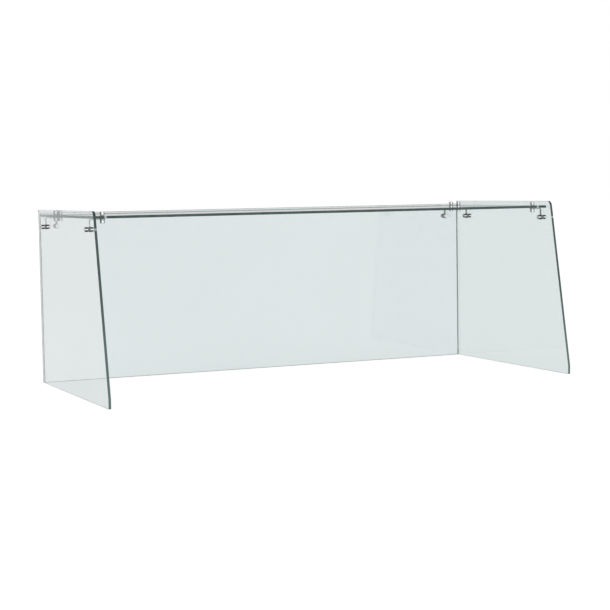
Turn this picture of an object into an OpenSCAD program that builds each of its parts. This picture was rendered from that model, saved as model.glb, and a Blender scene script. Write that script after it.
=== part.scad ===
// Countertop sneeze guard: four glass panels held by six right-angle glass connectors.
// Millimetres, +Z up, front towards -Y. The origin is on the counter, at the middle of the whole object's box.

/* [Glass panels] */
// Width over the outer faces of the two side panels
guard_w = 1200; // [900:10:1500]
// Depth of a side panel along the counter
guard_d = 550; // [550:5:700]
// Height of a side panel
guard_h = 432; // [432:1:520]
// Thickness of every panel
glass_t = 6; // [5:0.5:8]
// How far the front edge of a side panel leans back on its way to the top
top_setback = 80; // [40:1:90]
// Height of the short upright at the foot of that front edge
foot_rise = 22; // [10:1:60]
// Radius of the rounded front top corner of a side panel
corner_r = 14; // [8:1:25]
// Height of the shelf's underside
shelf_z = 415; // [380:1:415]
// Depth of the shelf, from its back edge to its front edge
shelf_d = 450; // [380:5:450]
// How far the back panel stands above the shelf's upper face
back_rise = 3; // [0:0.5:5]
// Gap left between the edge of one panel and the face of the next
joint_gap = 1.5; // [1:0.1:2]

/* [Connectors] */
// Distance from the shelf's front edge to the middle of the front connectors
front_inset = 26; // [20:1:60]
// Distance from the back panel's inner face to the middle of the rear side connectors
rear_inset = 52; // [50:1:90]
// Distance from a side panel's inner face to the middle of the nearest back connector
back_inset = 42; // [40:1:200]
// Width of the bent bar
bar_w = 5; // [4:0.5:8]
// Thickness of the bar and of its eyes
bar_t = 2; // [1.5:0.5:3]
// Outer radius of the bar's bend
bend_r = 3.5; // [3.5:0.5:5]
// Diameter of the eye at each end of the bar
eye_d = 13; // [12.5:0.5:14]
// Distance from the shelf's underside down to the upright panel's bolt
bolt_drop = 24; // [20:0.5:26]
// Distance from a side panel's inner face to its connectors' shelf bolts
side_reach = 27; // [24:0.5:30]
// Distance from the back panel's inner face to its connectors' shelf bolts
back_reach = 38; // [36:0.5:40]

/* [Bolts] */
// Diameter of a cap
cap_d = 11; // [10:0.5:12]
// Length of a cap
cap_l = 8; // [7.5:0.5:9]
// Size of the bevel round a cap's outer rim
cap_bevel = 0.8; // [0.4:0.1:1.2]
// Depth of the blind hole in a cap
cap_bore_l = 5.5; // [4:0.5:6]
// Diameter of a stud over its threads
stud_d = 6; // [5:0.5:6]
// Space left between the end of a stud and the bottom of its hole
stud_play = 0.5; // [0.2:0.1:1]

/* [Clear spacers] */
// Thickness of a washer
washer_t = 1; // [0.8:0.1:1.5]
// Diameter of a washer
washer_d = 10.6; // [10:0.1:12]
// Thickness of a gasket
gasket_t = 1; // [0.8:0.1:1.5]
// Diameter of a gasket
gasket_d = 12.4; // [11:0.1:12.5]
// Diameter of a hole in the glass
glass_hole_d = 9; // [8.6:0.1:9.6]
// Wall thickness of a bush
bush_wall = 1.2; // [1:0.1:1.2]

/* [Hidden] */
$fn = 48;
// Radial clearance of a stud in the metal, and of a bush in the glass
fit_play = 0.05;
// Radial clearance of a stud in eyes, gaskets and washers
loose_play = 0.2;
// How far a cutter runs past a face
cut = 1;
// Straight steps in a rounded panel corner
arc_steps = 16;

panel_inner_x = guard_w / 2 - glass_t;
back_x = panel_inner_x - back_inset;
// What stands behind the back panel: a washer and a cap
proud = washer_t + cap_l;
back_y = (guard_d - proud) / 2;
front_y = back_y - guard_d;
back_inner_y = back_y - glass_t;
shelf_top_z = shelf_z + glass_t;
shelf_back_y = back_inner_y - joint_gap;
shelf_front_y = shelf_back_y - shelf_d;
level_w = 2 * (panel_inner_x - joint_gap);
back_h = shelf_top_z + back_rise;
lean = atan(top_setback / (guard_h - foot_rise));
// From the face of the glass to the inner cap: gasket and eye
eye_stack = gasket_t + bar_t;
// Where the bar's straight legs start, measured from the corner
bend_end = gasket_t + bend_r;
stud_l = 2 * (cap_bore_l - stud_play) + washer_t + glass_t + eye_stack;
bolt_z = shelf_z - bolt_drop;
front_bolt_y = shelf_front_y + front_inset;
rear_bolt_y = back_inner_y - rear_inset;

// Each connector: name, the corner it sits in, the way its level leg points (0 is +X), and that leg's reach
CONNECTORS = [
    ["left_front", [-panel_inner_x, front_bolt_y], 0, side_reach],
    ["left_rear", [-panel_inner_x, rear_bolt_y], 0, side_reach],
    ["right_front", [panel_inner_x, front_bolt_y], 180, side_reach],
    ["right_rear", [panel_inner_x, rear_bolt_y], 180, side_reach],
    ["back_left", [-back_x, back_inner_y], -90, back_reach],
    ["back_right", [back_x, back_inner_y], -90, back_reach],
];
GLASS_NODES = ["left_side_glass", "right_side_glass", "back_glass", "top_shelf_glass"];
CONNECTOR_PARTS = [
    "bracket", "panel_outer_cap", "panel_inner_cap", "shelf_upper_cap", "shelf_lower_cap",
    "studs", "washers", "gaskets", "bushes",
];

// Points of an arc, both ends included
function arc(centre, r, from, to) = [
    for (i = [0:arc_steps])
        let (angle = from + (to - from) * i / arc_steps)
        centre + r * [cos(angle), sin(angle)]
];

// Where a connector's shelf bolt stands, seen from above
function shelf_bolt(c) = c[1] + c[3] * [cos(c[2]), sin(c[2])];

// Outline of a side panel: Y to the right and Z up
module side_outline() {
    top_y = front_y + top_setback;
    corner = [top_y + corner_r * tan(45 - lean / 2), guard_h - corner_r];
    polygon(concat(
        [[front_y, 0], [back_y, 0], [back_y, guard_h]],
        arc(corner, corner_r, 90, 180 - lean),
        [[front_y, foot_rise]]
    ));
}

// A bare side panel whose lower X face is at x
module side_panel(x) {
    color("PaleTurquoise", 0.5)
    difference() {
        translate([x, 0, 0])
            rotate([90, 0, 90])
            linear_extrude(glass_t)
            side_outline();
        for (y = [front_bolt_y, rear_bolt_y])
            translate([x - cut, y, bolt_z])
            rotate([0, 90, 0])
            cylinder(d = glass_hole_d, h = glass_t + 2 * cut);
    }
}

module left_side_glass() {
    side_panel(-guard_w / 2);
}

module right_side_glass() {
    side_panel(panel_inner_x);
}

module back_glass() {
    color("PaleTurquoise", 0.5)
    difference() {
        translate([-level_w / 2, back_inner_y, 0])
            cube([level_w, glass_t, back_h]);
        for (x = [-back_x, back_x])
            translate([x, back_y + cut, bolt_z])
            rotate([90, 0, 0])
            cylinder(d = glass_hole_d, h = glass_t + 2 * cut);
    }
}

module top_shelf_glass() {
    color("PaleTurquoise", 0.5)
    difference() {
        translate([-level_w / 2, shelf_front_y, shelf_z])
            cube([level_w, shelf_d, glass_t]);
        for (c = CONNECTORS)
            translate(concat(shelf_bolt(c), shelf_z - cut))
            cylinder(d = glass_hole_d, h = glass_t + 2 * cut);
    }
}

// Puts a connector's pieces in its corner: +X runs under the shelf and Z = 0 is the shelf's underside
module in_corner(c) {
    translate([c[1][0], c[1][1], shelf_z])
        rotate([0, 0, c[2]])
        children();
}

// Puts what is drawn along +Z on the shelf's bolt line, from the shelf's underside upwards
module on_shelf_bolt(reach) {
    translate([reach, 0, 0])
        children();
}

// Puts what is drawn along +Z on the upright panel's bolt line, from its inner face outwards
module on_panel_bolt() {
    translate([0, 0, -bolt_drop])
        rotate([0, -90, 0])
        children();
}

// The same piece on both bolt lines
module on_both_bolts(reach) {
    on_shelf_bolt(reach) children();
    on_panel_bolt() children();
}

// A flat leg along +X from the bend to the eye round its bolt
module leg(reach) {
    difference() {
        linear_extrude(bar_t)
            union() {
                translate([bend_end, -bar_w / 2])
                    square([reach - bend_end, bar_w]);
                translate([reach, 0])
                    circle(d = eye_d);
            }
        translate([reach, 0, -cut])
            cylinder(d = stud_d + 2 * loose_play, h = bar_t + 2 * cut);
    }
}

// The bent bar: level leg, upright leg and the bend between them
module bracket(reach) {
    color("Silver")
    union() {
        translate([0, 0, -eye_stack])
            leg(reach);
        mirror([1, 0, 1])
            translate([0, 0, -eye_stack])
            leg(bolt_drop);
        translate([bend_end, bar_w / 2, -bend_end])
            rotate([90, 0, 0])
            linear_extrude(bar_w)
            intersection() {
                difference() {
                    circle(bend_r);
                    circle(bend_r - bar_t);
                }
                translate([-bend_r, 0])
                    square(bend_r);
            }
    }
}

// A cap along +Z with its open end at z = 0 and its bevelled end away from the glass
module cap() {
    color("Gainsboro")
    difference() {
        rotate_extrude()
            polygon([
                [0, 0],
                [cap_d / 2, 0],
                [cap_d / 2, cap_l - cap_bevel],
                [cap_d / 2 - cap_bevel, cap_l],
                [0, cap_l],
            ]);
        translate([0, 0, -cut])
            cylinder(d = stud_d + 2 * fit_play, h = cap_bore_l + cut);
    }
}

// A cap on the far side of the glass, over its washer
module outer_cap() {
    translate([0, 0, glass_t + washer_t])
        cap();
}

// A cap on the bar's side of the glass
module inner_cap() {
    translate([0, 0, -eye_stack])
        mirror([0, 0, 1])
        cap();
}

module studs(reach) {
    color("DimGray")
    on_both_bolts(reach)
        translate([0, 0, stud_play - cap_bore_l - eye_stack])
        cylinder(d = stud_d, h = stud_l);
}

// A flat ring along +Z
module ring(outer_d, inner_d, length) {
    difference() {
        cylinder(d = outer_d, h = length);
        translate([0, 0, -cut])
            cylinder(d = inner_d, h = length + 2 * cut);
    }
}

module washers(reach) {
    color("WhiteSmoke", 0.6)
    on_both_bolts(reach)
        translate([0, 0, glass_t])
        ring(washer_d, stud_d + 2 * loose_play, washer_t);
}

module bushes(reach) {
    bush_d = glass_hole_d - 2 * fit_play;
    color("WhiteSmoke", 0.6)
    on_both_bolts(reach)
        ring(bush_d, bush_d - 2 * bush_wall, glass_t);
}

// The soft rings between the eyes and the glass
module gaskets(reach) {
    color("WhiteSmoke", 0.6)
    on_both_bolts(reach)
        translate([0, 0, -gasket_t])
        ring(gasket_d, stud_d + 2 * loose_play, gasket_t);
}

// One named piece of a connector, in the connector's own corner frame
module connector_part(part, reach) {
    if (part == "bracket") bracket(reach);
    if (part == "panel_outer_cap") on_panel_bolt() outer_cap();
    if (part == "panel_inner_cap") on_panel_bolt() inner_cap();
    if (part == "shelf_upper_cap") on_shelf_bolt(reach) outer_cap();
    if (part == "shelf_lower_cap") on_shelf_bolt(reach) inner_cap();
    if (part == "studs") studs(reach);
    if (part == "washers") washers(reach);
    if (part == "gaskets") gaskets(reach);
    if (part == "bushes") bushes(reach);
}

left_side_glass();
right_side_glass();
back_glass();
top_shelf_glass();
for (c = CONNECTORS)
    for (p = CONNECTOR_PARTS)
        in_corner(c) connector_part(p, c[3]);
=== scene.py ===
"""Countertop sneeze guard: four panels of glass held by six right-angle glass connectors.

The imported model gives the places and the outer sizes, and the classes hold the finer sizes as fields.
This script gives each piece its finished mesh and its finish.
Lengths are metres, +Z is up and the front of the guard faces -Y.
"""

import logging
import math
from collections.abc import Callable
from dataclasses import dataclass
from enum import Enum
from functools import reduce

import bmesh
import bpy
from mathutils import Matrix, Vector


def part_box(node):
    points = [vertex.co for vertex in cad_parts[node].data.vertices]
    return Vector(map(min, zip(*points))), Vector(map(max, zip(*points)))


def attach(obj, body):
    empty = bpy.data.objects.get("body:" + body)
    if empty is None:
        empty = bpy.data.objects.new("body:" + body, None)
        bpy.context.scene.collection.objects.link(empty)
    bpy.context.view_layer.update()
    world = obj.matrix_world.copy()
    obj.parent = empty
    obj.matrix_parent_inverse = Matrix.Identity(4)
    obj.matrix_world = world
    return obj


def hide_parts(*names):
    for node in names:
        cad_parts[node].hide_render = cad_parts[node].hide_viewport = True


log = logging.getLogger("sneeze_guard")

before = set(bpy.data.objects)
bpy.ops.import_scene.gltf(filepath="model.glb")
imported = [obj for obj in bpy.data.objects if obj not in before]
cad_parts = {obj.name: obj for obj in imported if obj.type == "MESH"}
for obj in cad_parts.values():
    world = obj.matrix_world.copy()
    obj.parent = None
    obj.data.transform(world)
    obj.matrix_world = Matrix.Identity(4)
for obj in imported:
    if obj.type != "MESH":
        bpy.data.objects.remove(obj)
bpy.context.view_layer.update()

MM = 0.001
# How far a finished piece keeps off the piece it rests on, so that two faces never share a plane
SEAT = 0.03 * MM
# An edge with a sharper turn than this is a corner of the shape, and not a step in a round stretch
SHARP = math.radians(40)
# A step in a round stretch is shaded smooth up to this turn
SMOOTH = math.radians(32)
ROOT = "root"

# How square to an axis a flat face's normal is, and how true to it a straight edge runs
SQUARE = 0.99

Colour = tuple[float, float, float, float]
Node = bpy.types.Node
Socket = bpy.types.NodeSocket
Sockets = dict[str, Socket]
Face = bmesh.types.BMFace
Edge = bmesh.types.BMEdge


class Axis(Enum):
    """A main direction of the object, as the index of its coordinate."""

    X = 0
    Y = 1
    Z = 2

    @property
    def vector(self) -> Vector:
        """The unit vector along the axis."""
        return Vector([1.0 if i == self.value else 0.0 for i in range(3)])


class Slot(Enum):
    """The record's material slots."""

    GLASS = "glass"
    BRACKET = "bracket_steel"
    CAP = "cap_steel"
    STUD = "stud_steel"
    CLEAR = "clear_plastic"


# ---- Node wiring


# Where a Mix node keeps its sockets for colours, among its inputs and its outputs
MIX_SHARE, MIX_FIRST, MIX_SECOND, MIX_RESULT = 0, 6, 7, 2


@dataclass
class Wiring:
    """A node tree that is being wired: a material's, a shared effect's or the world's."""

    tree: bpy.types.NodeTree

    def give(self, node: Node, inputs: dict) -> None:
        """Gives a node its inputs.

        Args:
            node: the node.
            inputs: its inputs by name or index, each a plain value or the socket that feeds it.
        """
        for name, value in inputs.items():
            if isinstance(value, Socket):
                self.tree.links.new(value, node.inputs[name])
            else:
                node.inputs[name].default_value = value

    def add(self, kind: str, settings: dict | None = None, inputs: dict | None = None) -> Node:
        """Adds a node.

        Args:
            kind: the node's type name.
            settings: its properties by name.
            inputs: what it is given, as for give.

        Returns:
            The new node.
        """
        node = self.tree.nodes.new(kind)
        for name, value in (settings or {}).items():
            setattr(node, name, value)
        self.give(node, inputs or {})
        return node

    def maths(self, operation: str, *values: object) -> Socket:
        """Adds a Math node.

        Args:
            operation: the sum it does.
            values: its operands, each a number or a socket.

        Returns:
            The result's socket.
        """
        return self.add("ShaderNodeMath", {"operation": operation}, dict(enumerate(values))).outputs[0]

    def vectors(self, operation: str, *values: object, output: str = "Vector") -> Socket:
        """Adds a Vector Math node.

        Args:
            operation: the sum it does.
            values: its operands, each a vector or a socket.
            output: which of its outputs is wanted.

        Returns:
            That output's socket.
        """
        made = self.add("ShaderNodeVectorMath", {"operation": operation}, dict(enumerate(values)))
        return made.outputs[output]

    def scaled(self, vector: object, factor: object) -> Socket:
        """A vector or a colour times a number."""
        made = self.add("ShaderNodeVectorMath", {"operation": "SCALE"}, {"Vector": vector, "Scale": factor})
        return made.outputs["Vector"]

    def blend(self, share: object, first: object, second: object) -> Socket:
        """Mixes two colours.

        Args:
            share: how much of the second, 0 to 1.
            first: the colour at 0.
            second: the colour at 1.

        Returns:
            The mixed colour's socket.
        """
        inputs = {MIX_SHARE: share, MIX_FIRST: first, MIX_SECOND: second}
        return self.add("ShaderNodeMix", {"data_type": "RGBA"}, inputs).outputs[MIX_RESULT]

    def span(self, value: object, low: float, high: float, to_low: object, to_high: object,
             smooth: bool = False) -> Socket:
        """Maps a value from one range to another and keeps it inside the second.

        Args:
            value: what is mapped.
            low: the start of its range.
            high: the end of its range.
            to_low: the result at the start.
            to_high: the result at the end.
            smooth: whether the change eases in and out.

        Returns:
            The result's socket.
        """
        settings = {"interpolation_type": "SMOOTHSTEP" if smooth else "LINEAR"}
        inputs = {"Value": value, "From Min": low, "From Max": high, "To Min": to_low, "To Max": to_high}
        return self.add("ShaderNodeMapRange", settings, inputs).outputs["Result"]

    def noise(self, vector: object, scale: float, detail: float = 2.0) -> Socket:
        """Adds a noise.

        Args:
            vector: where it is read.
            scale: how fine it is.
            detail: how many finer layers it has.

        Returns:
            Its value's socket, around 0.5.
        """
        inputs = {"Vector": vector, "Scale": scale, "Detail": detail}
        return self.add("ShaderNodeTexNoise", None, inputs).outputs["Fac"]

    def place(self) -> Socket:
        """The point on the object being shaded."""
        return self.add("ShaderNodeTexCoord").outputs["Object"]

    def mirrored(self) -> Socket:
        """Whether the ray has been mirrored on its way from the camera: 1 if so, else 0."""
        return self.maths("GREATER_THAN", self.add("ShaderNodeLightPath").outputs["Glossy Depth"], 0.5)

    def group(self, tree: bpy.types.NodeTree, inputs: dict) -> Node:
        """A shared effect's node, with this material's own values."""
        return self.add("ShaderNodeGroup", {"node_tree": tree}, inputs)


def grey(value: float) -> Colour:
    """A neutral colour."""
    return (value, value, value, 1.0)


@dataclass(frozen=True)
class Effect:
    """A surface effect that several finishes share, as a node group with named inputs and outputs."""

    name: str
    inputs: tuple[tuple[str, str, object], ...]
    outputs: tuple[tuple[str, str], ...]
    wire: Callable[[Wiring, Sockets], Sockets]

    def tree(self) -> bpy.types.NodeTree:
        """The node group, built the first time it is asked for.

        Returns:
            The group's tree.
        """
        built = bpy.data.node_groups.get(self.name)
        if built is not None:
            return built
        built = bpy.data.node_groups.new(self.name, "ShaderNodeTree")
        for name, kind, value in self.inputs:
            socket = built.interface.new_socket(name=name, in_out="INPUT", socket_type=kind)
            if value is not None:
                socket.default_value = value
        for name, kind in self.outputs:
            built.interface.new_socket(name=name, in_out="OUTPUT", socket_type=kind)
        wiring = Wiring(built)
        entry = wiring.add("NodeGroupInput")
        results = self.wire(wiring, {s.name: s for s in entry.outputs if s.name})
        wiring.add("NodeGroupOutput", None, results)
        return built


FLOAT = "NodeSocketFloat"
VECTOR = "NodeSocketVector"


def wire_grain(w: Wiring, given: Sockets) -> Sockets:
    """Fine parallel lines: fast across the lay, slow along it, in patches of more and less.

    Args:
        w: the group's wiring.
        given: its inputs.

    Returns:
        Its outputs.
    """
    stretched = w.vectors("MULTIPLY", given["Lay"], given["Stretch"])
    fine = w.noise(stretched, 1.0, 3.0)
    coarse = w.noise(w.scaled(stretched, 0.21), 1.0, 1.0)
    lines = w.maths("ADD", w.maths("MULTIPLY", fine, 0.7), w.maths("MULTIPLY", coarse, 0.3))
    patches = w.noise(given["Lay"], 160.0, 2.0)
    deep = w.maths("MULTIPLY", lines, w.span(patches, 0.3, 0.7, 0.6, 1.0))
    return {"Height": deep, "Mask": w.span(lines, 0.35, 0.65, 0.0, 1.0)}


GRAIN = Effect(
    "Fine parallel lines",
    (("Lay", VECTOR, None), ("Stretch", VECTOR, (1.0, 1.0, 1.0))),
    (("Height", FLOAT), ("Mask", FLOAT)),
    wire_grain,
)


def wire_wear(w: Wiring, given: Sockets) -> Sockets:
    """Rubbed corners: where the surface turns away from a rounder copy of itself, broken up by noise.

    Args:
        w: the group's wiring.
        given: its inputs.

    Returns:
        Its outputs.
    """
    rounded = w.add("ShaderNodeBevel", {"samples": 4}, {"Radius": given["Radius"]}).outputs["Normal"]
    own = w.add("ShaderNodeNewGeometry").outputs["Normal"]
    turned = w.maths("SUBTRACT", 1.0, w.vectors("DOT_PRODUCT", rounded, own, output="Value"))
    edge = w.span(turned, 0.02, 0.22, 0.0, 1.0)
    broken = w.span(w.noise(w.place(), given["Break-up"], 3.0), 0.35, 0.65, 0.35, 1.0)
    return {"Mask": w.maths("MULTIPLY", edge, broken)}


WEAR = Effect(
    "Rubbed corners",
    (("Radius", FLOAT, 0.4 * MM), ("Break-up", FLOAT, 700.0)),
    (("Mask", FLOAT),),
    wire_wear,
)


def wire_handling(w: Wiring, given: Sockets) -> Sockets:
    """Handling: broad wiped patches with fine dust specks in them.

    Args:
        w: the group's wiring.
        given: its inputs.

    Returns:
        Its outputs.
    """
    place = w.place()
    wiped = w.span(w.noise(place, given["Patch scale"], 4.0), 0.5, 0.72, 0.0, 1.0, smooth=True)
    specks = w.span(w.noise(place, given["Speck scale"], 2.0), 0.66, 0.74, 0.0, 1.0)
    both = w.maths("ADD", w.maths("MULTIPLY", wiped, 0.75), w.maths("MULTIPLY", specks, 0.25))
    return {"Mask": w.maths("MULTIPLY", both, given["Amount"])}


HANDLING = Effect(
    "Handling marks",
    (("Patch scale", FLOAT, 6.0), ("Speck scale", FLOAT, 900.0), ("Amount", FLOAT, 1.0)),
    (("Mask", FLOAT),),
    wire_handling,
)


def wire_painted_hole_refraction(w: Wiring, given: Sockets) -> Sockets:
    """A painted refraction: the pale spot that a ground hole would show through the polished edge nearest
    to it, as a mask for the edge's colour.

    Args:
        w: the group's wiring.
        given: its inputs.

    Returns:
        Its outputs.
    """
    normal = w.add("ShaderNodeNewGeometry").outputs["Normal"]
    off = w.vectors("SUBTRACT", w.place(), given["Hole"])
    along = w.vectors("CROSS_PRODUCT", normal, given["Through"])
    # Cubing it turns a slanting edge's direction almost upright, so that the spot stays level with its hole
    cubed = w.vectors("MULTIPLY", w.vectors("MULTIPLY", along, along), along)
    along_edge = w.vectors("NORMALIZE", cubed)
    sideways = w.maths("ABSOLUTE", w.vectors("DOT_PRODUCT", off, along_edge, output="Value"))
    depth = w.maths("ABSOLUTE", w.vectors("DOT_PRODUCT", off, normal, output="Value"))
    core = w.maths("MULTIPLY", given["Radius"], 0.55)
    spot = w.span(sideways, given["Radius"], core, 0.0, 1.0, smooth=True)
    near = w.span(w.maths("DIVIDE", depth, given["Reach"]), 4.0, 1.5, 0.0, 1.0)
    return {"Mask": w.maths("MULTIPLY", spot, near)}


PAINTED_HOLE_REFRACTION = Effect(
    "Painted refraction of a ground hole",
    (
        ("Hole", VECTOR, None),
        ("Through", VECTOR, (0.0, 0.0, 1.0)),
        ("Radius", FLOAT, 4.5 * MM),
        ("Reach", FLOAT, 20 * MM),
    ),
    (("Mask", FLOAT),),
    wire_painted_hole_refraction,
)


# ---- Finishes


class Finish:
    """What every finish shares: one material by its name, wired the first time it is asked for."""

    name: str

    def wire(self, w: Wiring, shader: Node) -> None:
        """Sets and feeds the Principled shader; each finish does this in its own way."""
        raise NotImplementedError

    def material(self) -> bpy.types.Material:
        """The finish's material.

        Returns:
            The material, made once and shared by every piece that has the finish.
        """
        made = bpy.data.materials.get(self.name)
        if made is not None:
            return made
        made = bpy.data.materials.new(self.name)
        made.use_nodes = True
        made.node_tree.nodes.clear()
        wiring = Wiring(made.node_tree)
        shader = wiring.add("ShaderNodeBsdfPrincipled")
        wiring.add("ShaderNodeOutputMaterial", None, {"Surface": shader.outputs["BSDF"]})
        self.wire(wiring, shader)
        return made


def relief(w: Wiring, height: Socket, distance: float, strength: float) -> Socket:
    """Fine relief.

    Args:
        w: the material's wiring.
        height: the relief, from 0 to 1.
        distance: how deep 0 to 1 is.
        strength: how much of it shows.

    Returns:
        The socket of the normal that carries it.
    """
    inputs = {"Height": height, "Distance": distance, "Strength": strength}
    return w.add("ShaderNodeBump", None, inputs).outputs["Normal"]


@dataclass(frozen=True)
class ClearFace(Finish):
    """The broad face of a panel: clear glass with a pale blue-green cast and faint wipe marks."""

    name: str = "Clear glass face"
    cast: Colour = (0.655, 0.718, 0.716, 1.0)
    slant_cast: Colour = (0.955, 0.99, 0.995, 1.0)
    second_cast: Colour = (0.99, 0.995, 0.995, 1.0)
    ior: float = 1.5
    wipe_roughness: float = 0.02
    square_on: float = 0.3
    aslant: float = 0.75

    def wire(self, w: Wiring, shader: Node) -> None:
        """A pane seen square gives its whole cast, one aslant less, and one behind another only a little.

        Args:
            w: the material's wiring.
            shader: its Principled shader.
        """
        path = w.add("ShaderNodeLightPath")
        first = w.maths("LESS_THAN", path.outputs["Transmission Depth"], 1.5)
        direct = w.maths("LESS_THAN", path.outputs["Diffuse Depth"], 0.5)
        facing = w.add("ShaderNodeLayerWeight", None, {"Blend": 0.5}).outputs["Facing"]
        slant = w.span(facing, self.square_on, self.aslant, 0.0, 1.0)
        own = w.blend(slant, self.cast, self.slant_cast)
        cast = w.blend(w.maths("MULTIPLY", first, direct), self.second_cast, own)
        drift = w.span(w.noise(w.place(), 1.7, 2.0), 0.3, 0.7, 0.985, 1.015)
        marks = w.group(HANDLING.tree(), {"Patch scale": 5.0, "Speck scale": 1400.0, "Amount": 1.0})
        w.give(shader, {
            "Base Color": w.scaled(cast, drift),
            "Roughness": w.maths("MULTIPLY", marks.outputs["Mask"], self.wipe_roughness),
            "Transmission Weight": 1.0,
            "IOR": self.ior,
        })


@dataclass(frozen=True)
class PolishedEdge(Finish):
    """A panel's polished edge: deep bottle green from outside, with a painted reflection of pale grey where
    it is seen from inside the glass.
    """

    name: str
    holes: tuple[tuple[float, float, float], ...]
    through: tuple[float, float, float]
    deep: Colour = (0.010, 0.036, 0.030, 1.0)
    # Painted reflection of the pale counter, shown towards the foot of the edge; the polish streaks also
    # run towards this colour
    foot: Colour = (0.075, 0.125, 0.115, 1.0)
    # Painted reflection: the pale grey stands in for the light the edge sends back into the glass, seen
    # from inside it
    inside: Colour = (0.74, 0.78, 0.775, 1.0)
    # Painted refraction: the pale colour of a ground hole seen through the edge
    spot: Colour = (0.38, 0.45, 0.435, 1.0)
    refraction_radius: float = 3.2 * MM
    refraction_reach: float = 20.0 * MM
    counter_reflection_height: float = 0.3
    streaks: tuple[float, float, float] = (9.0, 9.0, 3.0)
    polish: tuple[float, float, float] = (900.0, 900.0, 900.0)
    roughness: float = 0.07
    ior: float = 1.52

    def wire(self, w: Wiring, shader: Node) -> None:
        """Lighter towards the counter with a painted reflection of it, with a painted refraction of each
        ground hole in line with it, streaked along the polish.

        Args:
            w: the material's wiring.
            shader: its Principled shader.
        """
        place = w.place()
        # Painted reflection of the pale counter: the edge is lighter towards its bottom
        height = w.add("ShaderNodeSeparateXYZ", None, {"Vector": place}).outputs["Z"]
        low = w.span(height, 0.0, self.counter_reflection_height, 1.0, 0.0, smooth=True)
        colour = w.blend(low, self.deep, self.foot)
        streaked = w.noise(w.vectors("MULTIPLY", place, self.streaks), 4.0, 3.0)
        colour = w.blend(w.span(streaked, 0.35, 0.65, 0.0, 0.35), colour, self.foot)
        spot = {"Through": self.through, "Radius": self.refraction_radius, "Reach": self.refraction_reach}
        # Painted refraction of each ground hole, lighter in line with it
        masks = [w.group(PAINTED_HOLE_REFRACTION.tree(), spot | {"Hole": hole}).outputs["Mask"] for hole in self.holes]
        pale = reduce(lambda brighter, mask: w.maths("MAXIMUM", brighter, mask), masks)
        colour = w.blend(pale, colour, self.spot)
        # Painted reflection: from inside the glass the edge shows the pale inside colour
        behind = w.add("ShaderNodeNewGeometry").outputs["Backfacing"]
        polished = w.noise(w.vectors("MULTIPLY", place, self.polish), 1.0, 2.0)
        w.give(shader, {
            "Base Color": w.blend(behind, colour, self.inside),
            "Roughness": self.roughness,
            "IOR": self.ior,
            "Normal": relief(w, polished, 0.004 * MM, 0.4),
        })


@dataclass(frozen=True)
class GroundWall(Finish):
    """The ground wall of a hole in the glass: white and matt."""

    name: str = "Ground glass"
    colour: Colour = (0.80, 0.87, 0.86, 1.0)
    roughness: float = 0.55

    def wire(self, w: Wiring, shader: Node) -> None:
        """A fine frosted grain.

        Args:
            w: the material's wiring.
            shader: its Principled shader.
        """
        frost = w.noise(w.place(), 9000.0, 2.0)
        w.give(shader, {
            "Base Color": w.blend(frost, self.colour, grey(0.95)),
            "Roughness": self.roughness,
            "Normal": relief(w, frost, 0.02 * MM, 0.6),
        })


@dataclass(frozen=True)
class LinedSteel(Finish):
    """Stainless steel with a lay of fine brushed or turned lines, and rubbed bright corners."""

    name: str
    colour: Colour
    worn: Colour
    stretch: tuple[float, float, float]
    roughness: float
    line_roughness: float
    line_depth: float
    wear_radius: float = 0.35 * MM

    def wire(self, w: Wiring, shader: Node) -> None:
        """Lines in the relief and the roughness, brighter corners, faint marks from fingers.

        Args:
            w: the material's wiring.
            shader: its Principled shader.
        """
        lay = w.add("ShaderNodeAttribute", {"attribute_name": LAY}).outputs["Vector"]
        grain = w.group(GRAIN.tree(), {"Lay": lay, "Stretch": self.stretch})
        wear = w.group(WEAR.tree(), {"Radius": self.wear_radius, "Break-up": 700.0})
        marks = w.group(HANDLING.tree(), {"Patch scale": 140.0, "Speck scale": 5200.0, "Amount": 1.0})
        lines = grain.outputs["Mask"]
        shade = w.blend(w.maths("MULTIPLY", lines, 0.35), self.colour, grey(0.5))
        rough = w.maths("ADD", self.roughness, w.maths("MULTIPLY", lines, self.line_roughness))
        w.give(shader, {
            "Base Color": w.blend(wear.outputs["Mask"], shade, self.worn),
            "Roughness": w.maths("ADD", rough, w.maths("MULTIPLY", marks.outputs["Mask"], 0.08)),
            "Metallic": 1.0,
            "Normal": relief(w, grain.outputs["Height"], self.line_depth, 0.5),
        })


@dataclass(frozen=True)
class ClearPlastic(Finish):
    """Clear soft plastic, for washers, gaskets and bushes: slightly milky, with a moulded skin."""

    name: str = "Clear plastic"
    cast: Colour = (0.93, 0.95, 0.945, 1.0)
    roughness: float = 0.16
    ior: float = 1.46

    def wire(self, w: Wiring, shader: Node) -> None:
        """A faint uneven skin on a clear body.

        Args:
            w: the material's wiring.
            shader: its Principled shader.
        """
        skin = w.noise(w.place(), 1500.0, 3.0)
        marks = w.group(HANDLING.tree(), {"Patch scale": 220.0, "Speck scale": 6000.0, "Amount": 0.1})
        w.give(shader, {
            "Base Color": w.blend(w.maths("MULTIPLY", skin, 0.4), self.cast, grey(0.88)),
            "Roughness": w.maths("ADD", self.roughness, marks.outputs["Mask"]),
            "Transmission Weight": 1.0,
            "IOR": self.ior,
            "Normal": relief(w, skin, 0.01 * MM, 0.5),
        })


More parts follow.
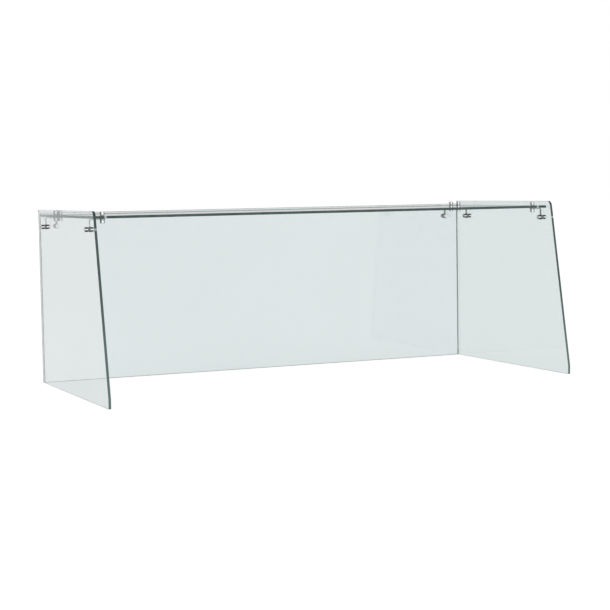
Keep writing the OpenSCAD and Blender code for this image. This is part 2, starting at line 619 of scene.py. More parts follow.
@dataclass(frozen=True)
class PaleSweep(Finish):
    """The studio's pale floor, lit from below enough to run into the pale background."""

    name: str = "Pale studio floor"
    colour: Colour = (0.12, 0.12, 0.12, 1.0)
    glow: float = 0.94

    def wire(self, w: Wiring, shader: Node) -> None:
        """A matt paper with the faintest mottle, which lets what is mirrored show the studio behind it.

        Args:
            w: the material's wiring.
            shader: its Principled shader.
        """
        mottle = w.maths("MULTIPLY", w.noise(w.place(), 3.0, 3.0), 0.2)
        w.give(shader, {
            "Base Color": w.blend(mottle, self.colour, grey(0.1)),
            "Roughness": 0.9,
            "Specular IOR Level": 0.0,
            "Emission Color": grey(1.0),
            "Emission Strength": self.glow,
        })
        output = next(node for node in w.tree.nodes if node.type == "OUTPUT_MATERIAL")
        clear = w.add("ShaderNodeBsdfTransparent").outputs["BSDF"]
        inputs = {0: w.mirrored(), 1: shader.outputs["BSDF"], 2: clear}
        w.give(output, {"Surface": w.add("ShaderNodeMixShader", None, inputs).outputs["Shader"]})


# The attribute that carries the lay of a metal piece's lines: slow, slow or across, and along its length
LAY = "lay"

BRUSHED_BAR = LinedSteel(
    name="Brushed steel bar",
    colour=(0.50, 0.505, 0.51, 1.0),
    worn=(0.78, 0.78, 0.78, 1.0),
    stretch=(6500.0, 6500.0, 140.0),
    roughness=0.36,
    line_roughness=0.16,
    line_depth=0.006 * MM,
)
TURNED_CAP = LinedSteel(
    name="Turned bright steel",
    colour=(0.82, 0.82, 0.825, 1.0),
    worn=(0.93, 0.93, 0.93, 1.0),
    stretch=(60.0, 60.0, 5200.0),
    roughness=0.06,
    line_roughness=0.07,
    line_depth=0.003 * MM,
)
THREADED_ROD = LinedSteel(
    name="Threaded steel rod",
    colour=(0.52, 0.52, 0.525, 1.0),
    worn=(0.74, 0.74, 0.74, 1.0),
    stretch=(90.0, 90.0, 4200.0),
    roughness=0.26,
    line_roughness=0.12,
    line_depth=0.004 * MM,
    wear_radius=0.15 * MM,
)


# ---- Shaping

# Flats in the wall of a drilled hole
HOLE_SIDES = 48
# Points nearer to each other than this are one point
TOUCHING = 1e-6


def clear_selection() -> None:
    """Leaves nothing selected and nothing in edit mode, for the next operator."""
    if bpy.context.mode != "OBJECT":
        bpy.ops.object.mode_set(mode="OBJECT")
    bpy.ops.object.select_all(action="DESELECT")


@dataclass
class Workpiece:
    """A mesh that is being shaped with the mesh operators."""

    obj: bpy.types.Object

    @classmethod
    def started(cls, name: str) -> "Workpiece":
        """Takes up the primitive just added, named and with its place in its mesh.

        Args:
            name: the piece's name.

        Returns:
            The new workpiece.
        """
        piece = cls(bpy.context.object)
        piece.obj.name = name
        piece.obj.data.name = name
        bpy.ops.object.transform_apply(location=True, rotation=True, scale=True)
        return piece

    @classmethod
    def block(cls, name: str, low: Vector, high: Vector) -> "Workpiece":
        """Starts from a block.

        Args:
            name: the piece's name.
            low: its lowest corner.
            high: its highest corner.

        Returns:
            The new workpiece.
        """
        clear_selection()
        bpy.ops.mesh.primitive_cube_add(size=1.0, location=(low + high) / 2, scale=high - low)
        return cls.started(name)

    @classmethod
    def rod(cls, name: str, radius: float, length: float, sides: int) -> "Workpiece":
        """Starts from a rod that stands on z = 0.

        Args:
            name: the piece's name.
            radius: its radius.
            length: its length along +Z.
            sides: how many flats stand for its round.

        Returns:
            The new workpiece.
        """
        clear_selection()
        bpy.ops.mesh.primitive_cylinder_add(
            vertices=sides, radius=radius, depth=length, location=(0.0, 0.0, length / 2)
        )
        return cls.started(name)

    @classmethod
    def line(cls, name: str, points: list[Vector]) -> "Workpiece":
        """Starts from a line of edges, drawn point by point.

        Args:
            name: the piece's name.
            points: the line's corners in order.

        Returns:
            The new workpiece.
        """
        clear_selection()
        bpy.ops.mesh.primitive_plane_add(size=MM, location=points[0])
        piece = cls.started(name)
        bpy.ops.object.mode_set(mode="EDIT")
        bpy.ops.mesh.select_mode(type="VERT")
        bpy.ops.mesh.select_all(action="SELECT")
        bpy.ops.mesh.merge(type="CENTER")
        for start, end in zip(points, points[1:]):
            bpy.ops.mesh.extrude_region_move(TRANSFORM_OT_translate={"value": end - start})
        bpy.ops.object.mode_set(mode="OBJECT")
        return piece

    def taken_up(self) -> "Workpiece":
        """Selects the piece alone, for the operators to act on.

        Returns:
            The workpiece.
        """
        clear_selection()
        self.obj.select_set(True)
        bpy.context.view_layer.objects.active = self.obj
        return self

    def edit(self, mode: str) -> bmesh.types.BMesh:
        """Opens the piece in edit mode with nothing selected.

        Args:
            mode: what is selected next, VERT, EDGE or FACE.

        Returns:
            The mesh in edit mode.
        """
        self.taken_up()
        bpy.ops.object.mode_set(mode="EDIT")
        bpy.ops.mesh.select_mode(type=mode)
        bpy.ops.mesh.select_all(action="DESELECT")
        return bmesh.from_edit_mesh(self.obj.data)

    def pick_faces(self, wanted: Callable[[Face], bool]) -> "Workpiece":
        """Selects faces by their place or normal.

        Args:
            wanted: whether a face is one of them.

        Returns:
            The workpiece, in edit mode.
        """
        mesh = self.edit("FACE")
        mesh.normal_update()
        for face in mesh.faces:
            face.select_set(wanted(face))
        bmesh.update_edit_mesh(self.obj.data)
        return self

    def pick_edges(self, wanted: Callable[[Edge], bool]) -> "Workpiece":
        """Selects edges by their place.

        Args:
            wanted: whether an edge is one of them.

        Returns:
            The workpiece, in edit mode.
        """
        mesh = self.edit("EDGE")
        mesh.normal_update()
        for edge in mesh.edges:
            edge.select_set(wanted(edge))
        bmesh.update_edit_mesh(self.obj.data)
        return self

    def bevel(self, width: float, segments: int = 1) -> "Workpiece":
        """Bevels what is selected: one segment is a flat chamfer, more make a round."""
        bpy.ops.mesh.bevel(offset=width, segments=segments, profile=0.5, affect="EDGES", clamp_overlap=True)
        return self.done()

    def inset(self, width: float, depth: float = 0.0) -> "Workpiece":
        """Insets what is selected and moves it in (negative) or out along its normal, still selected."""
        bpy.ops.mesh.inset(thickness=width, depth=depth, use_even_offset=True)
        return self

    def extrude(self, offset: Vector) -> "Workpiece":
        """Extrudes what is selected, still selected."""
        bpy.ops.mesh.extrude_region_move(TRANSFORM_OT_translate={"value": offset})
        return self

    def flatten(self, centre: Vector, axis: Axis) -> "Workpiece":
        """Moves what is selected onto the plane through a point, square to an axis; it stays selected."""
        bpy.ops.transform.resize(value=Vector((1.0, 1.0, 1.0)) - axis.vector, center_override=centre)
        return self

    def opened(self, wanted: Callable[[Face], bool]) -> "Workpiece":
        """Takes faces away and leaves an open end for the next piece to be sewn to.

        Args:
            wanted: whether a face is one of them.

        Returns:
            The workpiece.
        """
        self.pick_faces(wanted)
        bpy.ops.mesh.delete(type="FACE")
        bpy.ops.object.mode_set(mode="OBJECT")
        return self

    def sewn(self) -> "Workpiece":
        """Merges the points that lie on each other, so that joined open ends become one wall.

        Returns:
            The workpiece.
        """
        self.edit("VERT")
        bpy.ops.mesh.select_all(action="SELECT")
        bpy.ops.mesh.remove_doubles(threshold=TOUCHING)
        return self.done()

    def spin(self, angle: float, steps: int, centre: Vector, axis: Axis) -> "Workpiece":
        """Sweeps what is selected round an axis.

        Args:
            angle: how far, in radians.
            steps: in how many steps.
            centre: a point on the axis.
            axis: its direction.

        Returns:
            The workpiece, with the swept end selected.
        """
        bpy.ops.mesh.spin(steps=steps, angle=angle, center=centre, axis=axis.vector)
        return self

    def bridge(self) -> "Workpiece":
        """Joins the two selected faces by a wall, so that they become the ends of a hole."""
        bpy.ops.mesh.bridge_edge_loops()
        return self.done()

    def done(self) -> "Workpiece":
        """Leaves edit mode with every face turned outwards.

        Returns:
            The workpiece.
        """
        bpy.ops.mesh.select_all(action="SELECT")
        bpy.ops.mesh.normals_make_consistent(inside=False)
        bpy.ops.object.mode_set(mode="OBJECT")
        return self

    def saw(self, point: Vector, normal: Vector) -> "Workpiece":
        """Cuts the whole piece by a plane and closes the cut.

        Args:
            point: a point on the plane.
            normal: the side that falls away.

        Returns:
            The workpiece.
        """
        self.edit("FACE")
        bpy.ops.mesh.select_all(action="SELECT")
        bpy.ops.mesh.bisect(
            plane_co=point, plane_no=normal, use_fill=True, clear_outer=True, threshold=TOUCHING / 10
        )
        return self.done()

    def modify(self, kind: str, **settings: object) -> "Workpiece":
        """Adds a modifier and applies it.

        Args:
            kind: the modifier's type.
            settings: its properties by name.

        Returns:
            The workpiece.
        """
        self.taken_up()
        modifier = self.obj.modifiers.new(kind.lower(), kind)
        for name, value in settings.items():
            setattr(modifier, name, value)
        bpy.ops.object.modifier_apply(modifier=modifier.name)
        return self

    def drill(self, centres: list[Vector], axis: Axis, radius: float, reach: float) -> "Workpiece":
        """Drills round holes along one axis.

        Args:
            centres: a point on each hole's axis, at the middle of its depth.
            axis: the way the holes run.
            radius: their radius.
            reach: how far the drill goes to each side of the middle.

        Returns:
            The workpiece.
        """
        quarter = math.pi / 2
        turn = {Axis.X: (0.0, quarter, 0.0), Axis.Y: (quarter, 0.0, 0.0), Axis.Z: (0.0, 0.0, 0.0)}[axis]
        for centre in centres:
            clear_selection()
            bpy.ops.mesh.primitive_cylinder_add(
                vertices=HOLE_SIDES, radius=radius, depth=2 * reach, location=centre, rotation=turn
            )
            drill = Workpiece.started("drill")
            self.modify("BOOLEAN", operation="DIFFERENCE", object=drill.obj, solver="EXACT")
            bpy.data.objects.remove(drill.obj)
        return self

    def smooth(self) -> "Workpiece":
        """Shades the round stretches smooth and leaves real corners sharp.

        Returns:
            The workpiece.
        """
        self.taken_up()
        bpy.ops.object.shade_smooth_by_angle(angle=SMOOTH)
        return self

    def lay(self, where: Callable[[Vector], Vector]) -> "Workpiece":
        """Writes the lay of the piece's lines on its points.

        Args:
            where: the lay's coordinates at a point of the piece.

        Returns:
            The workpiece.
        """
        layer = self.obj.data.attributes.new(LAY, "FLOAT_VECTOR", "POINT")
        for vertex, entry in zip(self.obj.data.vertices, layer.data):
            entry.vector = where(vertex.co)
        return self

    def placed(self, name: str, at: Matrix) -> "Workpiece":
        """Copies the piece to its place, with a mesh of its own.

        Args:
            name: the copy's name.
            at: where it goes.

        Returns:
            The copy.
        """
        twin = self.obj.copy()
        twin.data = self.obj.data.copy()
        twin.name = name
        twin.data.name = name
        bpy.context.scene.collection.objects.link(twin)
        twin.data.transform(at)
        return Workpiece(twin)

    def joined(self, other: "Workpiece") -> "Workpiece":
        """Takes another piece into this one.

        Args:
            other: the other piece, which stays a solid of its own.

        Returns:
            The workpiece.
        """
        self.taken_up()
        other.obj.select_set(True)
        bpy.ops.object.join()
        return self

    def scrapped(self) -> None:
        """Removes a master piece once its copies are in place."""
        bpy.data.objects.remove(self.obj)

    def dress(self, finish: Finish) -> "Workpiece":
        """Gives the whole piece one finish.

        Args:
            finish: the finish.

        Returns:
            The workpiece.
        """
        self.obj.data.materials.clear()
        self.obj.data.materials.append(finish.material())
        return self

    def mount(self, node: str, slot: Slot) -> None:
        """Puts the finished piece on the frame in place of its node.

        Args:
            node: the node it stands for.
            slot: the record's material slot; not used.
        """
        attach(self.obj, ROOT)
        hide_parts(node)
        log.info("%s stands for %s, %d faces", self.obj.name, node, len(self.obj.data.polygons))


def turn_at(edge: Edge) -> float:
    """How sharply the surface turns at an edge, in radians."""
    return edge.calc_face_angle(0.0)


def runs_along(edge: Edge, axis: Axis) -> bool:
    """Whether an edge runs along an axis."""
    along = edge.verts[1].co - edge.verts[0].co
    return abs(along.normalized()[axis.value]) > SQUARE


# ---- Glass


@dataclass
class GlassPanel:
    """A panel of toughened glass with polished edges, small arrises and ground holes for its bolts."""

    node: str
    through: Axis
    holes: list[Vector]
    hole_d: float = 9.0 * MM
    arris: float = 0.7 * MM
    corner_r: float = 1.5 * MM

    @property
    def low(self) -> Vector:
        """The panel's lowest corner."""
        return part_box(self.node)[0]

    @property
    def high(self) -> Vector:
        """The panel's highest corner."""
        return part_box(self.node)[1]

    def outline(self) -> Workpiece:
        """The bare pane with its corners eased.

        Returns:
            The workpiece.
        """
        pane = Workpiece.block(self.node + "_pane", self.low, self.high)
        pane.pick_edges(lambda e: runs_along(e, self.through))
        return pane.bevel(self.corner_r, 3)

    def arrised(self, pane: Workpiece) -> Workpiece:
        """Takes the sharp arris off the edges and the hole rims."""
        pane.pick_edges(lambda e: turn_at(e) > SHARP and not runs_along(e, self.through))
        return pane.bevel(self.arris)

    def surface(self, centre: Vector, normal: Vector) -> int:
        """Which finish a face takes.

        Args:
            centre: the face's middle.
            normal: its normal.

        Returns:
            0 for the clear face, 1 for the polished edge and 2 for the ground wall of a hole.
        """
        if abs(normal[self.through.value]) > SQUARE:
            return 0
        for hole in self.holes:
            off = centre - hole
            off[self.through.value] = 0.0
            if off.length < self.hole_d:
                return 2
        return 1

    def build(self) -> None:
        """Makes the panel, dresses its surfaces and puts it on the frame."""
        pane = self.outline()
        reach = self.high[self.through.value] - self.low[self.through.value]
        pane.drill(self.holes, self.through, self.hole_d / 2, reach)
        self.arrised(pane)
        pane.smooth()
        edge = PolishedEdge(
            name="Polished edge of " + self.node,
            holes=tuple(tuple(hole) for hole in self.holes),
            through=tuple(self.through.vector),
        )
        for finish in (ClearFace(), edge, GroundWall()):
            pane.obj.data.materials.append(finish.material())
        for face in pane.obj.data.polygons:
            face.material_index = self.surface(face.center, face.normal)
        pane.mount(self.node, Slot.GLASS)


@dataclass
class SidePanel(GlassPanel):
    """A side panel: its front edge leans back from a short upright foot to a rounded top corner."""

    setback: float = 80.0 * MM
    foot_rise: float = 22.0 * MM
    top_corner_r: float = 14.0 * MM
    corner_steps: int = 16

    def outline(self) -> Workpiece:
        """The pane sawn to its slope, its front top corner rounded and its other corners eased.

        Returns:
            The workpiece.
        """
        pane = Workpiece.block(self.node + "_pane", self.low, self.high)
        rise = self.high.z - self.low.z - self.foot_rise
        foot = Vector((0.0, self.low.y, self.low.z + self.foot_rise))
        pane.saw(foot, Vector((0.0, -rise, self.setback)))
        lean = math.atan2(self.setback, rise)
        tangent = self.top_corner_r * math.tan(math.pi / 4 - lean / 2)
        top_y = self.low.y + self.setback
        pane.pick_edges(
            lambda e: runs_along(e, self.through)
            and abs(e.verts[0].co.y - top_y) < MM
            and e.verts[0].co.z > self.high.z - MM
        )
        pane.bevel(tangent, self.corner_steps)
        pane.pick_edges(lambda e: runs_along(e, self.through) and turn_at(e) > SHARP)
        return pane.bevel(self.corner_r, 3)


# ---- Connectors


class Corner(Enum):
    """The six corners that hold a connector: its label, and its level leg's turn from +X in degrees."""

    LEFT_FRONT = ("left_front", 0)
    LEFT_REAR = ("left_rear", 0)
    RIGHT_FRONT = ("right_front", 180)
    RIGHT_REAR = ("right_rear", 180)
    BACK_LEFT = ("back_left", -90)
    BACK_RIGHT = ("back_right", -90)

    def __init__(self, label: str, turn: int) -> None:
        """Gives the two parts of a corner's value their names."""
        self.label, self.turn = label, turn

    def node(self, part: str) -> str:
        """The name of one of this connector's nodes."""
        return self.label + "_" + part

    def matrix(self) -> Matrix:
        """From a connector's own corner frame, +X under the shelf and z = 0 its underside, to its place.

        Returns:
            The placing matrix.
        """
        low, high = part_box(self.node("gaskets"))
        middle = (low + high) / 2
        at = {
            0: Vector((low.x, middle.y, high.z)),
            180: Vector((high.x, middle.y, high.z)),
            -90: Vector((middle.x, high.y, high.z)),
        }[self.turn]
        return Matrix.Translation(at) @ Matrix.Rotation(math.radians(self.turn), 4, "Z")


# From what is drawn along +Z on a bolt line to the upright panel's line, which points to -X
TO_PANEL = Matrix.Rotation(-math.pi / 2, 4, "Y")
# Swaps X and Z without mirroring: what lies under the shelf comes to lie on the upright panel
UPRIGHT = Matrix(((0, 0, -1, 0), (0, 1, 0, 0), (-1, 0, 0, 0), (0, 0, 0, 1)))


@dataclass
class Connector:
    """A right-angle glass connector: bent bar with an eye at each end, caps, studs and clear spacers."""

    glass_t: float
    gasket_t: float
    gasket_d: float
    bar_t: float
    eye_d: float
    shelf_reach: float
    bolt_drop: float
    washer_t: float
    washer_d: float
    cap_d: float
    cap_l: float
    stud_d: float
    stud_top: float
    bush_d: float
    bar_w: float = 5.0 * MM
    bend_r: float = 3.5 * MM
    cap_bevel: float = 0.8 * MM
    cap_bore_l: float = 5.5 * MM
    bore_play: float = 0.05 * MM
    loose_play: float = 0.2 * MM
    bush_wall: float = 1.2 * MM
    pitch: float = 1.0 * MM
    thread_depth: float = 0.61 * MM
    metal_ease: float = 0.25 * MM
    plastic_ease: float = 0.12 * MM
    end_rings: tuple[tuple[float, float], ...] = ((0.6, 0.0), (0.15, -0.12), (2.9, 0.0), (0.25, -0.25))
    round_sides: int = 64
    eye_sides: int = 48
    bend_steps: int = 8
    thread_steps: int = 24

    @classmethod
    def measured(cls, corner: Corner) -> "Connector":
        """Reads a connector's sizes from its nodes, in its own corner frame.

        Args:
            corner: the connector that is measured.

        Returns:
            The connector's sizes.
        """
        to_corner = corner.matrix().inverted()

        def box(part: str) -> tuple[Vector, Vector]:
            """A node's lowest and highest corners in the connector's own corner frame."""
            ends = [to_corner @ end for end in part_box(corner.node(part))]
            return Vector(map(min, *ends)), Vector(map(max, *ends))

        bar, lower, upper = box("bracket"), box("shelf_lower_cap"), box("shelf_upper_cap")
        side_cap, studs = box("panel_inner_cap"), box("studs")
        gaskets, washers, bushes = box("gaskets"), box("washers"), box("bushes")
        return cls(
            glass_t=bushes[1].z,
            gasket_t=-bar[1].z,
            gasket_d=gaskets[1].y - gaskets[0].y,
            bar_t=bar[1].z - lower[1].z,
            eye_d=bar[1].y - bar[0].y,
            shelf_reach=(lower[0].x + lower[1].x) / 2,
            bolt_drop=-(side_cap[0].z + side_cap[1].z) / 2,
            washer_t=washers[1].z - bushes[1].z,
            washer_d=washers[1].y - washers[0].y,
            cap_d=upper[1].y - upper[0].y,
            cap_l=upper[1].z - upper[0].z,
            stud_d=studs[1].y - studs[0].y,
            stud_top=studs[1].z,
            bush_d=bushes[1].y - bushes[0].y,
        )

    @property
    def stack(self) -> float:
        """From the glass to the inner cap: gasket and eye."""
        return self.gasket_t + self.bar_t

    @property
    def bend(self) -> float:
        """Where the straight legs start, measured from the corner."""
        return self.gasket_t + self.bend_r

    @property
    def stud_hole_d(self) -> float:
        """The loose hole for a stud in eyes, gaskets and washers."""
        return self.stud_d + 2 * self.loose_play

    @property
    def shelf_line(self) -> Matrix:
        """From what is drawn along +Z to the shelf's bolt line."""
        return Matrix.Translation((self.shelf_reach, 0.0, 0.0))

    @property
    def panel_line(self) -> Matrix:
        """From what is drawn along +Z to the upright panel's bolt line."""
        return Matrix.Translation((0.0, 0.0, -self.bolt_drop)) @ TO_PANEL

    def leg(self, reach: float) -> Workpiece:
        """A flat leg under the shelf: its eye, with the bar drawn out of its rim as far as the bend.

        Args:
            reach: how far the eye's middle is from the corner.

        Returns:
            The workpiece, with its end at the bend closed.
        """
        leg = Workpiece.rod("leg", self.eye_d / 2, self.bar_t - 2 * SEAT, self.eye_sides)
        leg.obj.data.transform(Matrix.Translation((reach, 0.0, SEAT - self.stack)))
        leg.pick_faces(lambda f: abs(f.normal.z) > SQUARE)
        leg.inset((self.eye_d - self.stud_hole_d) / 2).bridge()
        widest = self.bar_w / 2 + SEAT
        nearest = reach - 0.9 * self.eye_d / 2

        def under_bar(face: Face) -> bool:
            """Whether a face is one of the rim's flats that lie within the bar's width."""
            towards_bend = face.normal.x < -0.8 and face.calc_center_median().x < nearest
            return towards_bend and all(abs(v.co.y) < widest for v in face.verts)

        leg.pick_faces(under_bar)
        leg.extrude(Vector((self.bend - reach, 0.0, 0.0)))
        return leg.flatten(Vector((self.bend, 0.0, 0.0)), Axis.X).done()

    def at_bend(self, face: Face) -> bool:
        """Whether a face is the end of a leg, where the bend starts."""
        return face.normal.x < -SQUARE and face.calc_center_median().x < self.bend + SEAT

    def past_bend(self, face: Face) -> bool:
        """Whether a face is the end of the swept bend, where the upright leg starts."""
        return face.normal.z < -SQUARE and abs(face.calc_center_median().z + self.bend) < SEAT

    def bar(self) -> Workpiece:
        """The bent bar: the level leg swept round the bend, sewn to the upright leg, eased and brushed.

        Returns:
            The workpiece, in the corner frame.
        """
        bar, upright = self.leg(self.shelf_reach), self.leg(self.bolt_drop)
        bar.pick_faces(self.at_bend)
        bar.spin(math.pi / 2, self.bend_steps, Vector((self.bend, 0.0, -self.bend)), Axis.Y)
        bar.done().opened(self.past_bend)
        upright.opened(self.at_bend)
        upright.obj.data.transform(UPRIGHT)
        bar.joined(upright).sewn()
        bar.pick_edges(lambda e: turn_at(e) > SHARP)
        bar.bevel(self.metal_ease, 3)
        return bar.smooth().lay(self.along_bar).dress(BRUSHED_BAR)

    def along_bar(self, point: Vector) -> Vector:
        """The lay of the brushing: across the bar, through it, and along it.

        Args:
            point: a point of the bar, in the corner frame.

        Returns:
            Its place on the bar as it was before it was bent.
        """
        if point.x >= self.bend:
            return Vector((point.y, point.z, point.x - self.bend))
        if point.z <= -self.bend:
            return Vector((point.y, -point.x, point.z + self.bend - self.bend_r * math.pi / 2))
        angle = math.atan2(self.bend - point.x, point.z + self.bend)
        radius = math.hypot(self.bend - point.x, point.z + self.bend)
        return Vector((point.y, radius - self.bend, -angle * self.bend_r))

    def cap(self) -> Workpiece:
        """A turned cap along +Z: bevelled and dished at its far end, bored at its near one.

        Returns:
            The workpiece, with its open end at z = 0.
        """
        radius, top = self.cap_d / 2, self.cap_l - SEAT
        cap = Workpiece.rod("turned_cap", radius, top, self.round_sides)
        cap.pick_edges(lambda e: min(v.co.z for v in e.verts) > top - SEAT)
        cap.bevel(self.cap_bevel, 4)
        cap.pick_faces(lambda f: f.normal.z > SQUARE)
        for width, depth in self.end_rings:
            cap.inset(width * MM, depth * MM)
        cap.done()
        cap.pick_edges(lambda e: max(v.co.z for v in e.verts) < SEAT)
        cap.bevel(self.metal_ease, 2)
        cap.pick_faces(lambda f: f.normal.z < -SQUARE)
        bore = self.stud_d / 2 + self.bore_play
        cap.inset(radius - self.metal_ease - bore).extrude(Vector((0.0, 0.0, self.cap_bore_l)))
        cap.done()
        return cap.smooth().lay(self.round_turning).dress(TURNED_CAP)

    def round_turning(self, point: Vector) -> Vector:
        """The lay of turned lines: round the axis, and along the profile that the tool followed.

        Args:
            point: a point of a turned piece along +Z.

        Returns:
            Its place round the piece and along its profile.
        """
        radius = math.hypot(point.x, point.y)
        around = Vector((point.x, point.y, 0.0)).normalized() * self.cap_d / 2
        return Vector((around.x, around.y, point.z + self.cap_d / 2 - radius))

    def stud(self) -> Workpiece:
        """A threaded stud along +Z, measured from the inner face of the glass.

        Returns:
            The workpiece, with its real helical thread.
        """
        crest = self.stud_d / 2 - SEAT
        root = crest - self.thread_depth
        middle = (self.glass_t + self.washer_t - self.stack) / 2
        half = self.stud_top - middle
        start = middle - half - 1.5 * self.pitch
        turns = math.ceil(2 * half / self.pitch) + 3
        profile = [(root, 0.0), (crest, 0.31), (crest, 0.44), (root, 0.75), (root, 1.0)]
        points = [Vector((r, 0.0, start + z * self.pitch)) for r, z in profile]
        stud = Workpiece.line("threaded_stud", points)
        stud.modify(
            "SCREW", axis="Z", angle=2 * math.pi, screw_offset=self.pitch, iterations=turns,
            steps=self.thread_steps, render_steps=self.thread_steps,
            use_merge_vertices=True, merge_threshold=TOUCHING,
        )
        stud.sewn()
        stud.saw(Vector((0.0, 0.0, middle + half - SEAT)), Vector((0.0, 0.0, 1.0)))
        stud.saw(Vector((0.0, 0.0, middle - half + SEAT)), Vector((0.0, 0.0, -1.0)))
        return stud.smooth().lay(self.round_turning).dress(THREADED_ROD)

    def ring(self, name: str, outer_d: float, inner_d: float, low: float, high: float) -> Workpiece:
        """A clear ring along +Z with eased rims.

        Args:
            name: the piece's name.
            outer_d: its outer diameter.
            inner_d: its bore.
            low: where it starts.
            high: where it ends.

        Returns:
            The workpiece.
        """
        ring = Workpiece.rod(name, outer_d / 2, high - low - 2 * SEAT, self.round_sides)
        ring.pick_faces(lambda f: abs(f.normal.z) > SQUARE)
        ring.inset((outer_d - inner_d) / 2).bridge()
        ring.pick_edges(lambda e: turn_at(e) > SHARP)
        ring.bevel(self.plastic_ease, 2)
        ring.obj.data.transform(Matrix.Translation((0.0, 0.0, low + SEAT)))
        return ring.smooth().dress(ClearPlastic())

    def build(self, corners: list[Corner]) -> None:
        """Makes each kind of piece once, and copies it to every corner that has this connector.

        Args:
            corners: the corners.
        """
        inner = Matrix.Translation((0.0, 0.0, -self.stack)) @ Matrix.Rotation(math.pi, 4, "X")
        outer_z = self.glass_t + self.washer_t
        outer = Matrix.Translation((0.0, 0.0, outer_z))
        bar, cap = self.bar(), self.cap()
        loose, bush_bore = self.stud_hole_d, self.bush_d - 2 * self.bush_wall
        pairs = {
            "studs": (self.stud(), Slot.STUD),
            "washers": (self.ring("washer", self.washer_d, loose, self.glass_t, outer_z), Slot.CLEAR),
            "gaskets": (self.ring("gasket", self.gasket_d, loose, -self.gasket_t, 0.0), Slot.CLEAR),
            "bushes": (self.ring("bush", self.bush_d, bush_bore, 0.0, self.glass_t), Slot.CLEAR),
        }
        for corner in corners:
            at = corner.matrix()
            on_shelf, on_panel = at @ self.shelf_line, at @ self.panel_line
            bar.placed(corner.node("bent_bar"), at).mount(corner.node("bracket"), Slot.BRACKET)
            caps = {
                "panel_outer_cap": on_panel @ outer,
                "panel_inner_cap": on_panel @ inner,
                "shelf_upper_cap": on_shelf @ outer,
                "shelf_lower_cap": on_shelf @ inner,
            }
            for part, place in caps.items():
                cap.placed(corner.node(part + "_turned"), place).mount(corner.node(part), Slot.CAP)
            for part, (master, slot) in pairs.items():
                pair = master.placed(corner.node(part + "_pair"), on_shelf)
                pair.joined(master.placed("second", on_panel)).mount(corner.node(part), slot)
        for master in (bar, cap, *(master for master, _ in pairs.values())):
            master.scrapped()


# ---- Studio


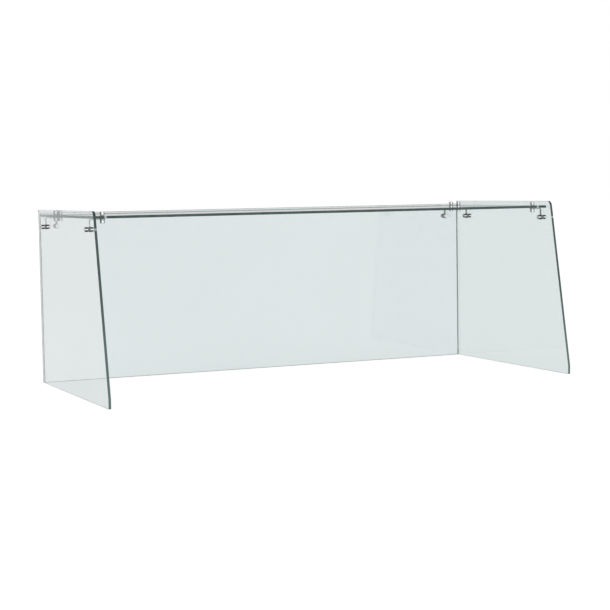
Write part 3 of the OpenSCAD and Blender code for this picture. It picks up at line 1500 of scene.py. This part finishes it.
@dataclass
class Studio:
    """A plain pale floor that runs into a white background, soft light from all round, and the camera."""

    camera_place: tuple[float, float, float] = (-1.5889, -3.5200, 0.4767)
    yaw: float = 24.31
    pitch: float = -4.34
    roll: float = -0.98
    lens: float = 91.47
    floor_size: float = 60.0
    front_light: float = 1.25
    side_light: float = 0.22
    far_light: float = 0.42
    least_light: float = 0.075

    def lay_floor(self) -> None:
        """The floor, a hair below the feet of the glass."""
        clear_selection()
        bpy.ops.mesh.primitive_plane_add(size=self.floor_size, location=(0.0, 0.0, -0.2 * MM))
        floor = bpy.context.object
        floor.name = "studio_floor"
        floor.data.materials.append(PaleSweep().material())

    def light(self) -> None:
        """White all round when seen directly; mirrored, a lit front and far side between dark sides."""
        world = bpy.data.worlds.new("Soft studio")
        bpy.context.scene.world = world
        world.use_nodes = True
        world.node_tree.nodes.clear()
        w = Wiring(world.node_tree)
        direction = w.add("ShaderNodeTexCoord").outputs["Generated"]
        split = w.add("ShaderNodeSeparateXYZ", None, {"Vector": direction})
        up, away = split.outputs["Z"], split.outputs["Y"]
        band = w.span(w.maths("ABSOLUTE", up), 0.3, 0.7, 1.0, 0.0, smooth=True)
        front = w.span(away, -0.75, -0.45, self.front_light, self.side_light, smooth=True)
        around = w.maths("ADD", front, w.span(away, 0.62, 0.8, 0.0, self.far_light, smooth=True))
        shown = w.maths("ADD", w.maths("MULTIPLY", band, around), self.least_light)
        colour = w.blend(w.mirrored(), grey(1.0), shown)
        backdrop = w.add("ShaderNodeBackground", None, {"Color": colour, "Strength": 1.0})
        w.add("ShaderNodeOutputWorld", None, {"Surface": backdrop.outputs["Background"]})

    def aim_camera(self) -> None:
        """The camera, in front of the guard, to its left and just above its top."""
        yaw, pitch = math.radians(self.yaw), math.radians(self.pitch)
        turn = (
            Matrix.Rotation(-yaw, 4, "Z")
            @ Matrix.Rotation(math.pi / 2 + pitch, 4, "X")
            @ Matrix.Rotation(math.radians(self.roll), 4, "Z")
        )
        data = bpy.data.cameras.new("camera")
        data.lens = self.lens
        data.sensor_width = 36.0
        data.clip_start, data.clip_end = 0.05, 200.0
        camera = bpy.data.objects.new("camera", data)
        bpy.context.scene.collection.objects.link(camera)
        camera.matrix_world = Matrix.Translation(self.camera_place) @ turn
        bpy.context.scene.camera = camera

    def build(self) -> None:
        """Sets up the whole studio."""
        self.lay_floor()
        self.light()
        self.aim_camera()
        bpy.context.scene.view_settings.view_transform = "Standard"


def bolt_centres(corners: list[Corner], panel: bool, through: Axis, node: str) -> list[Vector]:
    """Where connectors' bolts go through a panel.

    Args:
        corners: the connectors.
        panel: whether it is their upright panel's bolt, and not the shelf's.
        through: the panel's thickness axis.
        node: the panel's node.

    Returns:
        A point for each bolt, at the middle of the glass.
    """
    part = "panel_inner_cap" if panel else "shelf_lower_cap"
    low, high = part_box(node)
    centres = []
    for corner in corners:
        cap_low, cap_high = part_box(corner.node(part))
        centre = (cap_low + cap_high) / 2
        centre[through.value] = (low[through.value] + high[through.value]) / 2
        centres.append(centre)
    return centres


def main() -> None:
    """Builds the glass, the connectors and the studio, in that order."""
    logging.basicConfig(level=logging.INFO, format="%(message)s")
    left = [Corner.LEFT_FRONT, Corner.LEFT_REAR]
    right = [Corner.RIGHT_FRONT, Corner.RIGHT_REAR]
    back = [Corner.BACK_LEFT, Corner.BACK_RIGHT]
    for kind, node, through, corners, panel in (
        (SidePanel, "left_side_glass", Axis.X, left, True),
        (SidePanel, "right_side_glass", Axis.X, right, True),
        (GlassPanel, "back_glass", Axis.Y, back, True),
        (GlassPanel, "top_shelf_glass", Axis.Z, left + right + back, False),
    ):
        kind(node=node, through=through, holes=bolt_centres(corners, panel, through, node)).build()
    for corners in (left + right, back):
        Connector.measured(corners[0]).build(corners)
    Studio().build()


if __name__ == "__main__":
    main()
